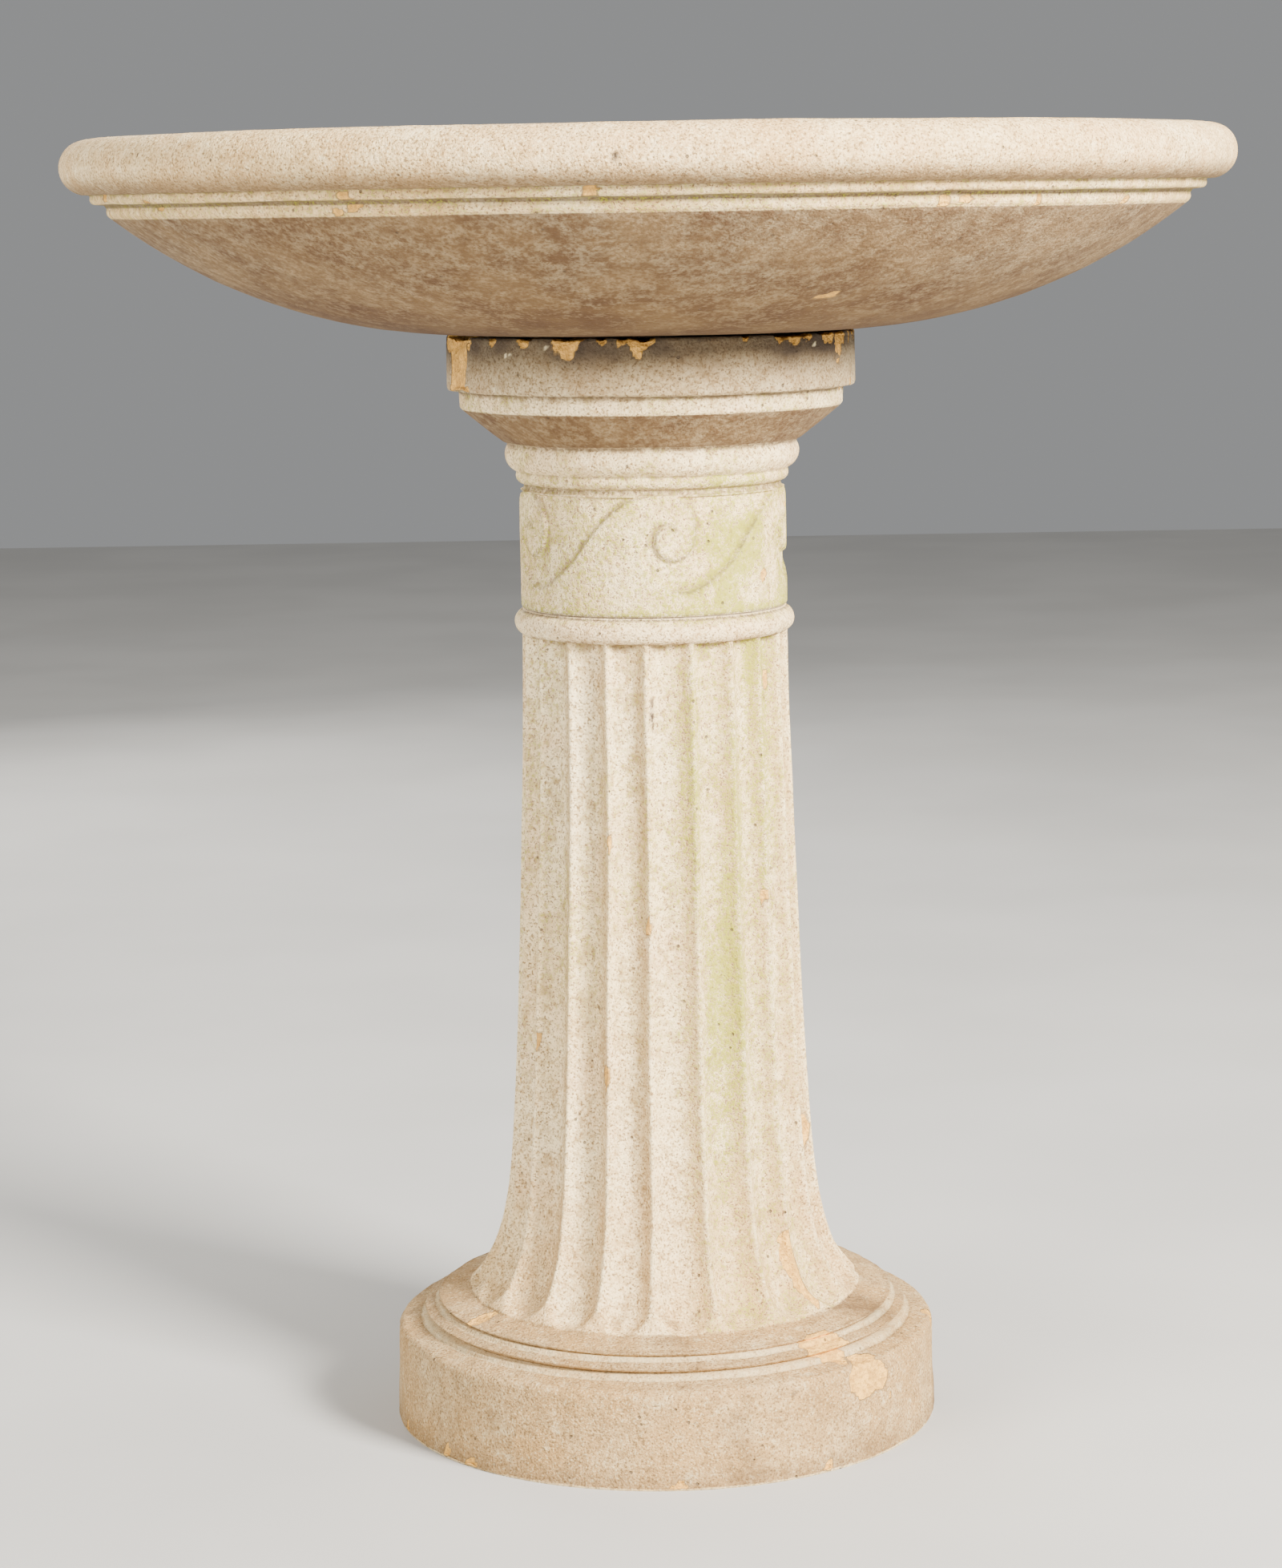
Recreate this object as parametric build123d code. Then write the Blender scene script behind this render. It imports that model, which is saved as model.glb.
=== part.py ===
from build123d import *
from math import exp, radians, sin
import os

# A fired-clay bird bath: a wide shallow bowl standing loose on a hollow fluted pedestal.
# Millimetres, +Z up, origin at the middle of the pedestal's underside.

# --- Driving dimensions -------------------------------------------------------------------
FOOT_RADIUS = 165.0  # underside of the round foot
FOOT_HEIGHT = 59.0  # top of the foot's plain drum
LEDGE_RADIUS = 120.0  # where the flare of the shaft runs out on the stepped ledge
LEDGE_HEIGHT = 78.5
SHAFT_TOP_RADIUS = 79.8  # over the arrises, just under the bead
SHAFT_TOP = 477.0
JOINT_HEIGHT = 492.0  # top of the bead, where the mortar bed lies
BED_THICKNESS = 1.0
FRIEZE_RADIUS = 79.4  # raised face of the scroll
FRIEZE_RELIEF = 2.1
FRIEZE_HEIGHT = 71.6  # from the mortar bed to the neck's groove
ABACUS_RADIUS = 121.0
SEAT_HEIGHT = 655.0  # top of the pedestal, where the bowl rests
BOWL_RADIUS = 343.0  # over the rolled rim
RIM_TOP = 771.0

# --- Fluted shaft -------------------------------------------------------------------------
FLUTE_COUNT = 20
TAPER_GAIN = 9.5  # slow widening of the shaft from the bead down
TAPER_SPAN = 280.0
TAPER_POWER = 1.4
FLARE_GAIN = 24.4  # quick widening close to the foot
FLARE_SPAN = 26.0
FLARE_START = 78.0
FLUTE_FILL = 0.93  # share of the pitch that a flute takes, the rest is the worn arris
FLUTE_DEPTH_TOP = 5.5
FLUTE_DEPTH_FOOT = 8.0
FLUTE_FOOT_HEIGHT = 91.5  # height of the middle of a flute's rounded lower end
FLUTE_STATIONS = (500.0, 420.0, 320.0, 230.0, 170.0, 135.0, 112.0, FLUTE_FOOT_HEIGHT)
ARRIS_DIRECTION = -93.3  # direction of one arris, seen from above
BEAD_RADIUS = 8.0

# --- Hollow inside ------------------------------------------------------------------------
CORE_TOP_RADIUS = 53.0  # hollow at the top of the shaft and in the frieze
SOCKET_RADIUS = 83.0  # open top of the pedestal
SOCKET_DEPTH = 35.0
SOCKET_FLARE = 40.0  # height over which the hollow widens to the open top

# --- Scroll on the frieze -----------------------------------------------------------------
SCROLL_UNITS = 5
SCROLL_EYE_HEIGHT = 535.0
SCROLL_EYE_ANGLE = -82.0  # direction of one eye, seen from above

# --- Bowl ---------------------------------------------------------------------------------
SEAT_RADIUS = 111.5  # flat underside that rests on the pedestal
UNDERSIDE_RADIUS = 328.0  # radius of curvature of the underside
WALL = 28.0
ROLL_RADIUS = 16.5
FOOT_RING_RADIUS = 80.0  # locating ring that drops into the open top of the pedestal
FOOT_RING_INNER = 62.0
FOOT_RING_DEPTH = 15.0


def arris_radius(z):
    """Radius of the shaft over its arrises at height z."""
    drop = max(SHAFT_TOP - z, 0.0)
    taper = TAPER_GAIN * (drop / TAPER_SPAN) ** TAPER_POWER
    return SHAFT_TOP_RADIUS + taper + FLARE_GAIN * exp((FLARE_START - z) / FLARE_SPAN)


def revolved(*edges):
    """Solid of revolution about Z from the edges of a closed half-section on XZ."""
    return revolve(make_face(Wire(list(edges))), Axis.Z)


def section_line(*points):
    """Open run of straight edges through (radius, height) points."""
    return Polyline(*[(r, 0, z) for r, z in points]).edges()


def section_spline(*points):
    """Smooth edge through (radius, height) points."""
    return Spline(*[(r, 0, z) for r, z in points]).edges()


def section_arc(start, middle, end):
    """Arc through three (radius, height) points."""
    return ThreePointArc(*[(r, 0, z) for r, z in (start, middle, end)]).edges()


def shaft_core():
    """Stepped round foot and flared shaft before the flutes are cut, hollow inside."""
    flare_heights = (79, 84, 90, 98, 108, 122, 145, 180, 240, 320, 400, SHAFT_TOP)
    flare = [(arris_radius(z), z) for z in flare_heights]
    foot = section_line(
        (132, 0), (FOOT_RADIUS - 1, 0), (FOOT_RADIUS, 1), (FOOT_RADIUS - 1.4, FOOT_HEIGHT - 5)
    )
    shoulder = section_arc(
        (FOOT_RADIUS - 1.4, FOOT_HEIGHT - 5),
        (FOOT_RADIUS - 2.9, FOOT_HEIGHT - 1.4),
        (FOOT_RADIUS - 6.6, FOOT_HEIGHT),
    )
    steps = section_line(
        (FOOT_RADIUS - 6.6, FOOT_HEIGHT),
        (149, 61.8),
        (148.3, 65.5),
        (146.2, 67.5),
        (141, 70),
        (139.3, 73),
        (137.5, 74.3),
        (LEDGE_RADIUS, LEDGE_HEIGHT),
        flare[0],
    )
    inside = section_line((CORE_TOP_RADIUS, SHAFT_TOP), (CORE_TOP_RADIUS, 400))
    hollow = section_spline(
        (CORE_TOP_RADIUS, 400), (57, 280), (63, 160), (76, 96), (101, 62), (124, 34), (132, 0)
    )
    top = section_line(flare[-1], (CORE_TOP_RADIUS, SHAFT_TOP))
    return revolved(*foot, *shoulder, *steps, *section_spline(*flare), *top, *inside, *hollow)


def flute_section(z):
    """Circle across one flute at height z, square to the shaft's flank, on the XZ plane."""
    step = 0.5
    radius = arris_radius(z)
    slope = (arris_radius(z + step) - arris_radius(z - step)) / (2 * step)
    along = Vector(slope, 0, 1).normalized()
    outward = Vector(1, 0, -slope).normalized()
    low_share = (SHAFT_TOP - z) / (SHAFT_TOP - FLUTE_FOOT_HEIGHT)
    depth = FLUTE_DEPTH_TOP + (FLUTE_DEPTH_FOOT - FLUTE_DEPTH_TOP) * max(low_share, 0.0)
    half_width = radius * sin(radians(180 / FLUTE_COUNT)) * FLUTE_FILL
    section_radius = (half_width**2 + depth**2) / (2 * depth)
    centre = Vector(radius, 0, z) + outward * (section_radius - depth)
    return centre, along, section_radius


def flute_cutter():
    """Horn that cuts one flute, with a ball at its lower end."""
    circles = []
    for z in FLUTE_STATIONS:
        centre, along, section_radius = flute_section(z)
        plane = Plane(origin=centre, x_dir=(0, 1, 0), z_dir=along)
        circles.append(plane * Circle(section_radius))
    centre, along, section_radius = flute_section(FLUTE_FOOT_HEIGHT)
    return loft(circles) + Pos(*centre) * Sphere(section_radius)


def make_shaft():
    """Foot, fluted shaft and bead, in one piece."""
    horn = flute_cutter()
    pitch = 360 / FLUTE_COUNT
    shaft = shaft_core()
    for index in range(FLUTE_COUNT):
        shaft -= Rot(0, 0, ARRIS_DIRECTION + pitch * (index + 0.5)) * horn
    bead_middle = SHAFT_TOP + BEAD_RADIUS - 0.5
    bead_centre = SHAFT_TOP_RADIUS - 3.8
    bead_low = (bead_centre - 4, SHAFT_TOP - 0.5 + 1.1)
    bead_high = (bead_centre + 3.0, JOINT_HEIGHT - 0.1)
    crown = revolved(
        *section_line(
            (bead_centre + 3.0, JOINT_HEIGHT - 0.1),
            (bead_centre + 2.2, JOINT_HEIGHT),
            (CORE_TOP_RADIUS, JOINT_HEIGHT),
            (CORE_TOP_RADIUS, SHAFT_TOP - 0.4),
            (bead_centre - 4, SHAFT_TOP - 0.4),
            bead_low,
        ),
        *section_arc(bead_low, (bead_centre + BEAD_RADIUS, bead_middle), bead_high),
    )
    return shaft + crown


def scroll_pocket():
    """Face of the sunk ground beside one scroll, as (arc length, height) from its eye."""
    top = JOINT_HEIGHT + FRIEZE_HEIGHT - SCROLL_EYE_HEIGHT
    wave = Spline(
        (1.2, 9.6), (-6.6, 12.0), (-14.8, 8.2), (-19.4, 0), (-18.6, -10), (-12, -20), (0, -27),
        (12, -27.4), (25, -21), (37.5, -11.6), (47.5, 0.2), (58, 11.8), (68, 20.8), (79, 26.6),
        (90, top),
    )
    lid = Line((90, top), (0, top))
    curl = Spline(
        (0, top), (7.5, 23.2), (12.8, 15.6), (14.2, 7), (12.4, -1.2), (7.5, -7.6), (0, -9.5),
        (-7, -6), (-10, 0), (-8.8, 6.4), (-4, 9.2), (1.2, 6.8),
    )
    tip = Line((1.2, 6.8), (1.2, 9.6))
    return make_face(Wire([*wave.edges(), *lid.edges(), *curl.edges(), *tip.edges()]))


def cut_scroll(drum):
    """Sink the ground beside each scroll into the frieze."""
    ground = FRIEZE_RADIUS - FRIEZE_RELIEF
    skin = Cylinder(FRIEZE_RADIUS + 5, 200) - Cylinder(ground, 200)
    skin = Pos(0, 0, SCROLL_EYE_HEIGHT) * skin
    flat = Plane(origin=(0, 0, SCROLL_EYE_HEIGHT), x_dir=(0, 1, 0), z_dir=(1, 0, 0))
    prism = extrude(flat * scroll_pocket(), FRIEZE_RADIUS + 10)
    for index in range(SCROLL_UNITS):
        turn = SCROLL_EYE_ANGLE + 360 / SCROLL_UNITS * index
        drum -= Rot(0, 0, turn) * (prism & skin)
    return drum


def make_capital():
    """Frieze drum, neck mouldings, echinus and abacus, hollow inside."""
    low = JOINT_HEIGHT + BED_THICKNESS
    ground = FRIEZE_RADIUS - FRIEZE_RELIEF
    groove = JOINT_HEIGHT + FRIEZE_HEIGHT
    frieze = section_line(
        (CORE_TOP_RADIUS + 2, low),
        (FRIEZE_RADIUS, low),
        (FRIEZE_RADIUS, groove - 0.4),
        (ground, groove),
        (ground, 566),
    )
    neck = section_arc((ground, 566), (80.9, 569.2), (81.3, 574))
    torus = section_arc((81.3, 574), (87.9, 583.2), (87.1, 589.8))
    flare = section_line((87.1, 589.8), (113.6, 611.6), (114.3, 621.2), (ABACUS_RADIUS, 621.6))
    abacus = section_line(
        (ABACUS_RADIUS, 621.6),
        (ABACUS_RADIUS, SEAT_HEIGHT - 2),
        (ABACUS_RADIUS - 2, SEAT_HEIGHT),
        (SOCKET_RADIUS, SEAT_HEIGHT),
        (SOCKET_RADIUS, SEAT_HEIGHT - SOCKET_DEPTH),
        (CORE_TOP_RADIUS + 2, SEAT_HEIGHT - SOCKET_DEPTH - SOCKET_FLARE),
        (CORE_TOP_RADIUS + 2, low),
    )
    return cut_scroll(revolved(*frieze, *neck, *torus, *flare, *abacus))


def make_bed():
    """Thin ring of mortar between the shaft and the capital."""
    outer = Cylinder(FRIEZE_RADIUS - 1.6, BED_THICKNESS, align=(Align.CENTER, Align.CENTER, Align.MIN))
    inner = Cylinder(CORE_TOP_RADIUS + 4, BED_THICKNESS, align=(Align.CENTER, Align.CENTER, Align.MIN))
    return Pos(0, 0, JOINT_HEIGHT) * (outer - inner)


def arc_point(radius, degrees):
    """Point on an arc about the underside's centre of curvature, from its lowest point."""
    height = SEAT_HEIGHT + UNDERSIDE_RADIUS
    turned = Vector(SEAT_RADIUS, height) + Vector(0, -radius).rotate(Axis.Z, degrees)
    return turned.X, turned.Y


def make_bowl():
    """Shallow bowl with a rolled rim, two fillets under it and a locating foot ring."""
    low = SEAT_HEIGHT - FOOT_RING_DEPTH
    floor = SEAT_HEIGHT + WALL
    inner = UNDERSIDE_RADIUS - WALL
    edge = arc_point(UNDERSIDE_RADIUS, 38.0)
    lip = arc_point(inner, 38.0)
    roll_middle = RIM_TOP - ROLL_RADIUS
    roll_centre = BOWL_RADIUS - ROLL_RADIUS
    foot = section_line(
        (0, SEAT_HEIGHT),
        (FOOT_RING_INNER, SEAT_HEIGHT),
        (FOOT_RING_INNER, low),
        (FOOT_RING_RADIUS - 3, low),
        (FOOT_RING_RADIUS, low + 3),
        (FOOT_RING_RADIUS, SEAT_HEIGHT),
        (SEAT_RADIUS, SEAT_HEIGHT),
    )
    underside = section_arc((SEAT_RADIUS, SEAT_HEIGHT), arc_point(UNDERSIDE_RADIUS, 19.0), edge)
    roll_low = (roll_centre + 1, roll_middle - ROLL_RADIUS + 0.1)
    fillets = section_line(edge, (316.6, 731), (324.8, 733.6), (roll_centre, 739.2), roll_low)
    roll = section_arc(roll_low, (BOWL_RADIUS, roll_middle), (roll_centre, RIM_TOP))
    crest = section_line((roll_centre, RIM_TOP), (316, RIM_TOP))
    inner_roll = section_arc((316, RIM_TOP), (308.9, RIM_TOP - 2.9), (306, RIM_TOP - 10))
    wall = section_line((306, RIM_TOP - 10), lip)
    inside = section_arc(lip, arc_point(inner, 19.0), (SEAT_RADIUS, floor))
    bottom = section_line((SEAT_RADIUS, floor), (0, floor), (0, SEAT_HEIGHT))
    return revolved(*foot, *underside, *fillets, *roll, *crest, *inner_roll, *wall, *inside, *bottom)


parts = {
    "shaft": make_shaft(),
    "capital_bed": make_bed(),
    "capital": make_capital(),
    "bowl": make_bowl(),
}

os.makedirs("parts", exist_ok=True)
for name, shape in parts.items():
    export_step(shape, f"parts/{name}.step")
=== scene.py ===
import math

import bpy
import numpy as np
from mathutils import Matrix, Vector


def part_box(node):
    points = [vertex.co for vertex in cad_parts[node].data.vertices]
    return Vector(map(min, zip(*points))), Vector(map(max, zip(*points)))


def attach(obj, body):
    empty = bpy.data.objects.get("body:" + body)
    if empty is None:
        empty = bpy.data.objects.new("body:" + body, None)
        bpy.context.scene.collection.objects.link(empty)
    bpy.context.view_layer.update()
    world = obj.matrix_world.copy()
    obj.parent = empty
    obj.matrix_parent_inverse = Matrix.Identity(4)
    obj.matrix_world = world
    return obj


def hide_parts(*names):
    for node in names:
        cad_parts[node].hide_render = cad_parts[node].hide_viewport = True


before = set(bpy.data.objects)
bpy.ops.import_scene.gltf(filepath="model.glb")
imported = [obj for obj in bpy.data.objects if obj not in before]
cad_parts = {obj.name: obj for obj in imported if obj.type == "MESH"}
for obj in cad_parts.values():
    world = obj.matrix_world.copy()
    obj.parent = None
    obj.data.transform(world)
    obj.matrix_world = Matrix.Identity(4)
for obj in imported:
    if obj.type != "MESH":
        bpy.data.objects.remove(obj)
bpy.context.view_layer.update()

# An old unglazed fired-clay bird bath. Each clay piece is a turned mesh whose section follows its
# CAD node, with the flutes, the scroll, the hand-finished edges and the chips worked into it.
# Lengths are in millimetres until a mesh is made. Angles are in degrees round +Z, 0 at the side
# that faces the camera (-Y) and growing towards +X.

MM = 0.001


def node_reach(node):
    """Outer radius, lowest and highest point of a round CAD node, in millimetres."""
    low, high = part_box(node)
    return high.x / MM, low.z / MM, high.z / MM


FOOT_RADIUS, _, JOINT_HEIGHT = node_reach("shaft")
ABACUS_RADIUS, CAPITAL_LOW, SEAT_HEIGHT = node_reach("capital")
BOWL_RADIUS, FOOT_RING_LOW, RIM_TOP = node_reach("bowl")


# --- Noise --------------------------------------------------------------------------------


class Noise:
    """Smooth noise between -1 and 1 from a repeating lattice of random numbers."""

    CELLS = 48
    OCTAVES = 3

    def __init__(self, seed):
        self.lattice = np.random.default_rng(seed).uniform(-1, 1, (self.CELLS,) * 3)

    def __call__(self, points, size):
        """Noise at points (..., 3) with features about size millimetres across."""
        scaled = points / size
        cell = np.floor(scaled).astype(int)
        part = scaled - cell
        part = part * part * (3 - 2 * part)
        total = 0
        for corner in np.ndindex(2, 2, 2):
            index = (cell + corner) % self.CELLS
            weight = np.prod(np.where(corner, part, 1 - part), axis=-1)
            total = total + weight * self.lattice[index[..., 0], index[..., 1], index[..., 2]]
        return total

    def rough(self, points, size):
        """Noise with finer and fainter copies of itself added."""
        total = 0
        for octave in range(self.OCTAVES):
            total = total + self(points + 17.3 * octave, size / 2**octave) / 2**octave
        return total / 1.6


def smooth_step(low, high, value):
    """0 up to low, 1 from high on and smooth between them. It falls where low is the larger."""
    part = np.clip((value - low) / (high - low), 0, 1)
    return part * part * (3 - 2 * part)


# --- Sections -----------------------------------------------------------------------------


def straight(*points):
    """Corner points of a run of straight edges."""
    return np.array(points, float)


def arc(start, middle, end, steps=24):
    """Points along the arc through three points."""
    (ax, ay), (bx, by), (cx, cy) = start, middle, end
    d = 2 * (ax * (by - cy) + bx * (cy - ay) + cx * (ay - by))
    a2, b2, c2 = ax * ax + ay * ay, bx * bx + by * by, cx * cx + cy * cy
    x = (a2 * (by - cy) + b2 * (cy - ay) + c2 * (ay - by)) / d
    y = (a2 * (cx - bx) + b2 * (ax - cx) + c2 * (bx - ax)) / d
    first, mid, last = (math.atan2(py - y, px - x) for px, py in (start, middle, end))
    turn = (last - first) % (2 * math.pi)
    if (mid - first) % (2 * math.pi) > turn:
        turn -= 2 * math.pi
    angles = first + turn * np.linspace(0, 1, steps)
    radius = math.hypot(ax - x, ay - y)
    return np.stack([x + radius * np.cos(angles), y + radius * np.sin(angles)], 1)


def through(points, steps=16):
    """Smooth curve through points (Catmull-Rom)."""
    points = np.array(points, float)
    padded = np.vstack([2 * points[0] - points[1], points, 2 * points[-1] - points[-2]])
    runs = []
    for i in range(len(points) - 1):
        a, b, c, d = padded[i : i + 4]
        t = np.linspace(0, 1, steps, endpoint=False)[:, None]
        runs.append(
            0.5 * (2 * b + (c - a) * t + (2 * a - 5 * b + 4 * c - d) * t**2 + (3 * b - a - 3 * c + d) * t**3)
        )
    return np.vstack([*runs, points[-1:]])


def spaced(points, spacing):
    """The same line with evenly spaced points, at most spacing millimetres apart."""
    steps = np.hypot(*np.diff(points, axis=0).T)
    along = np.concatenate([[0], np.cumsum(steps)])
    count = max(int(math.ceil(along[-1] / spacing)), 1)
    wanted = np.linspace(0, along[-1], count + 1)
    return np.stack([np.interp(wanted, along, points[:, 0]), np.interp(wanted, along, points[:, 1])], 1)


class Section:
    """Half-section of a turned piece: rows of (radius, height) with a label for each."""

    def __init__(self):
        self.rows = []
        self.labels = []

    def add(self, label, points, spacing):
        """Adds a run of the outline. Its first point is left out if the outline is already there."""
        run = spaced(points, spacing)
        if self.rows and np.hypot(*(run[0] - self.rows[-1])) < 0.05:
            run = run[1:]
        self.rows.extend(run)
        self.labels.extend([label] * len(run))

    def drop_last(self):
        """Takes off the last row of a closed outline, which repeats the first."""
        self.rows.pop()
        self.labels.pop()

    def finished(self):
        """Rows, their outward normals, eased at the corners, and their labels."""
        rows = np.array(self.rows)
        before, after = np.roll(rows, 1, 0), np.roll(rows, -1, 0)
        along = after - before
        normal = np.stack([along[:, 1], -along[:, 0]], 1)
        normal = normal + 0.5 * (np.roll(normal, 1, 0) + np.roll(normal, -1, 0))
        normal /= np.maximum(np.hypot(*normal.T), 1e-9)[:, None]
        return rows, normal, np.array(self.labels)


# --- Turned meshes ------------------------------------------------------------------------

# The point attributes of a mesh, which the clay material reads. Some of them also hold painted shade: the
# stain, the soot, the lines, the shade and the cavity.
PAINTS = ("chip", "algae", "stain_and_shade", "soot_and_shade", "warm", "line", "lime", "shade", "cavity")


class Turned:
    """Grid of points round +Z made from a section, pushed in and painted before it's a mesh."""

    def __init__(self, section, columns):
        rows, normal, labels = section.finished()
        self.radius, self.height = rows[:, :1], rows[:, 1:]
        self.normal_out, self.normal_up = normal[:, :1], normal[:, 1:]
        self.labels = labels
        self.angle = np.linspace(-180, 180, columns, endpoint=False)[None, :]
        self.push = np.zeros((len(rows), columns))
        self.paint = {key: np.zeros_like(self.push) for key in PAINTS}

    def rows_of(self, *labels):
        """Column of 1 for the rows with these labels and 0 for the others."""
        return np.isin(self.labels, labels).astype(float)[:, None]

    def cover(self, key, amount):
        """Raises a paint to an amount where it is lower."""
        self.paint[key] = np.maximum(self.paint[key], amount)

    def places(self):
        """Positions of all grid points, pushed along the section's normal."""
        out = self.radius + self.normal_out * self.push
        up = self.height + self.normal_up * self.push
        turn = np.radians(self.angle)
        up = np.broadcast_to(up, self.push.shape)
        return np.stack([out * np.sin(turn), -out * np.cos(turn), up], -1)

    def around(self, degrees):
        """Signed distance round the surface from a direction, in millimetres."""
        turn = (self.angle - degrees + 180) % 360 - 180
        return np.radians(turn) * self.radius

    def normals(self):
        """Outward unit normals of the pushed grid."""
        places = self.places()
        along = np.roll(places, -1, 0) - np.roll(places, 1, 0)
        across = np.roll(places, -1, 1) - np.roll(places, 1, 1)
        normal = np.cross(across, along)
        return normal / np.maximum(np.linalg.norm(normal, axis=-1, keepdims=True), 1e-9)

    def hollows(self, reach):
        """How far each point lies below its surroundings, in units of reach millimetres."""
        places = self.places()
        steps = np.linalg.norm(np.roll(places, -1, 0) - places, axis=-1).mean(1)
        share = np.clip(reach / np.maximum(steps, 1e-3), 0, 1)[:, None, None] * 0.9
        width = 2 * math.pi * self.radius.mean() / self.push.shape[1]
        blurred = places
        for _ in range(4):
            rows = 0.5 * (np.roll(blurred, 1, 0) + np.roll(blurred, -1, 0))
            blurred = blurred + share * (rows - blurred)
            for step in range(1, max(int(reach / width), 1) + 1):
                columns = 0.5 * (np.roll(blurred, step, 1) + np.roll(blurred, -step, 1))
                blurred = 0.5 * (blurred + columns)
        return np.clip(((blurred - places) * self.normals()).sum(-1) / reach, -1, 1)

    def mesh(self, name, closed=True):
        """Mesh object in metres. A section that isn't closed gets a cap at each end."""
        rows, columns = self.push.shape
        points = self.places().reshape(-1, 3) * MM
        index = np.arange(rows * columns).reshape(rows, columns)
        row_ends = rows if closed else rows - 1
        low = index[:row_ends]
        high = np.roll(index, -1, 0)[:row_ends]
        quads = np.stack([low, np.roll(low, -1, 1), np.roll(high, -1, 1), high], -1).reshape(-1, 4)
        caps = []
        if not closed:
            for ring, flip in ((index[0], True), (index[-1], False)):
                pole = len(points)
                middle = points[ring].mean(0)
                points = np.vstack([points, middle])
                after = np.roll(ring, -1)
                fan = [after, ring] if flip else [ring, after]
                caps.append(np.stack([*fan, np.full(columns, pole)], 1))
        mesh = bpy.data.meshes.new(name)
        faces = [*quads.tolist(), *[f for cap in caps for f in cap.tolist()]]
        mesh.from_pydata(points.tolist(), [], faces)
        for key, values in self.paint.items():
            flat = np.broadcast_to(values, self.push.shape).reshape(-1)
            flat = np.concatenate([flat, np.zeros(len(points) - len(flat))])
            attribute = mesh.attributes.new(key, "FLOAT", "POINT")
            attribute.data.foreach_set("value", flat.astype(np.float32))
        mesh.polygons.foreach_set("use_smooth", np.ones(len(mesh.polygons), bool))
        mesh.update()
        thing = bpy.data.objects.new(name, mesh)
        bpy.context.scene.collection.objects.link(thing)
        return thing


# --- Damage -------------------------------------------------------------------------------

ALL_ROUND = (-180.0, 180.0)
SIDES_AND_BACK = (75.0, 285.0)
chip_edge = Noise(11)
chip_floor = Noise(12)


def spot(turned, angle, height, width, tall, ragged=0.35):
    """Distance from a ragged spot's middle, 1 at its outline. Width and tall are its full sizes."""
    across = turned.around(angle)
    up = turned.height - height
    distance = np.hypot(across / (width / 2), up / (tall / 2))
    near = distance < 2
    size = max(min(width, tall) * 0.4, 2.2)
    edge = np.zeros_like(distance)
    places = turned.places()
    edge[near] = chip_edge.rough(places[near], size)
    return np.where(near, distance + ragged * edge, 9.0)


def strike(turned, angle, height, width, tall, depth, labels, ragged=0.45):
    """Breaks a chip out of a surface and marks the fresh clay in it."""
    distance = spot(turned, angle, height, width, tall, ragged)
    mask = smooth_step(1.05, 0.82, distance) * turned.rows_of(*labels)
    floor = np.zeros_like(mask)
    inside = mask > 0
    grain = chip_floor.rough(turned.places()[inside], 3.5)
    floor[inside] = 0.6 + 0.4 * np.clip(1.1 - distance[inside], 0, 1) + 0.3 * grain
    turned.push -= depth * mask * floor
    turned.cover("chip", mask)


def mark(turned, key, angle, height, width, tall, labels, ragged=0.3, amount=1.0):
    """Paints a ragged spot without cutting the surface."""
    distance = spot(turned, angle, height, width, tall, ragged)
    mask = amount * smooth_step(1.1, 0.75, distance) * turned.rows_of(*labels)
    turned.cover(key, mask)


def scatter(turned, seed, count, heights, sizes, depth, labels, angles=SIDES_AND_BACK):
    """Small chips at random places, by default on the sides and the back."""
    dice = np.random.default_rng(seed)
    for _ in range(count):
        angle = dice.uniform(*angles)
        height = dice.uniform(*heights)
        width, tall = dice.uniform(*sizes, 2)
        strike(turned, angle, height, width, tall, depth, labels)


# --- Shaft --------------------------------------------------------------------------------

SHAFT_TOP = JOINT_HEIGHT - 15.0  # where the bead starts
SHAFT_TOP_RADIUS = 79.8
TAPER, TAPER_DROP, TAPER_POWER = 9.5, 280.0, 1.4  # added radius, over this drop, on this curve
FLARE, FLARE_LOW, FLARE_REACH = 24.4, 78.0, 26.0  # added radius at this height, fading over this
FLARE_TOP = 150.0  # above it the section has longer edges
CORE_RADIUS = 53.0
FLUTE_COUNT = 20
FLUTE_FILL = 0.95  # width of a flute over the distance between its arrises
FLUTE_DEPTHS = (6.0, 8.6)  # at the top and at the lower end
FLUTE_FOOT = 91.5  # height of the middle of a flute's rounded lower end
ARRIS_WEAR = 0.7  # how softly a flute runs into its arris
ARRIS_ANGLE = -3.3
# How many degrees each arris is off its even place, from the one that faces the camera and round
# towards +X. The first five and last three are near the real ones. The others are made up.
ARRIS_ERRORS = (
    -0.8, 0.9, 1.6, 0.2, -0.6, 0.4, -0.9, 0.5, 0.9, -0.3,
    -1.0, 0.6, 0.2, -0.7, 0.8, -0.2, 0.5, -1.3, 0.1, 0.3,
)

# Angle, height, width, tall and depth of the chips on the fluted part.
FLUTE_CHIPS = (
    (51.0, 86.5, 8.0, 12.0, 1.4), (82.5, 171.0, 12.0, 26.0, 2.6), (-20.3, 361.8, 3.5, 7.0, 0.8),
    (-22.4, 223.0, 4.5, 15.0, 1.2), (-58.6, 238.0, 5.0, 11.0, 1.0), (-4.2, 312.0, 3.0, 9.0, 0.8),
    (50.3, 325.3, 5.0, 7.0, 1.0), (48.5, 318.5, 4.0, 5.0, 0.9), (61.0, 451.4, 6.0, 12.0, 0.8),
)


def arris_radius(z):
    """Radius of the shaft over its arrises at height z: a slow taper and a flare at the foot."""
    drop = np.maximum(SHAFT_TOP - z, 0.0)
    taper = TAPER * (drop / TAPER_DROP) ** TAPER_POWER
    return SHAFT_TOP_RADIUS + taper + FLARE * np.exp((FLARE_LOW - z) / FLARE_REACH)


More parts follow.
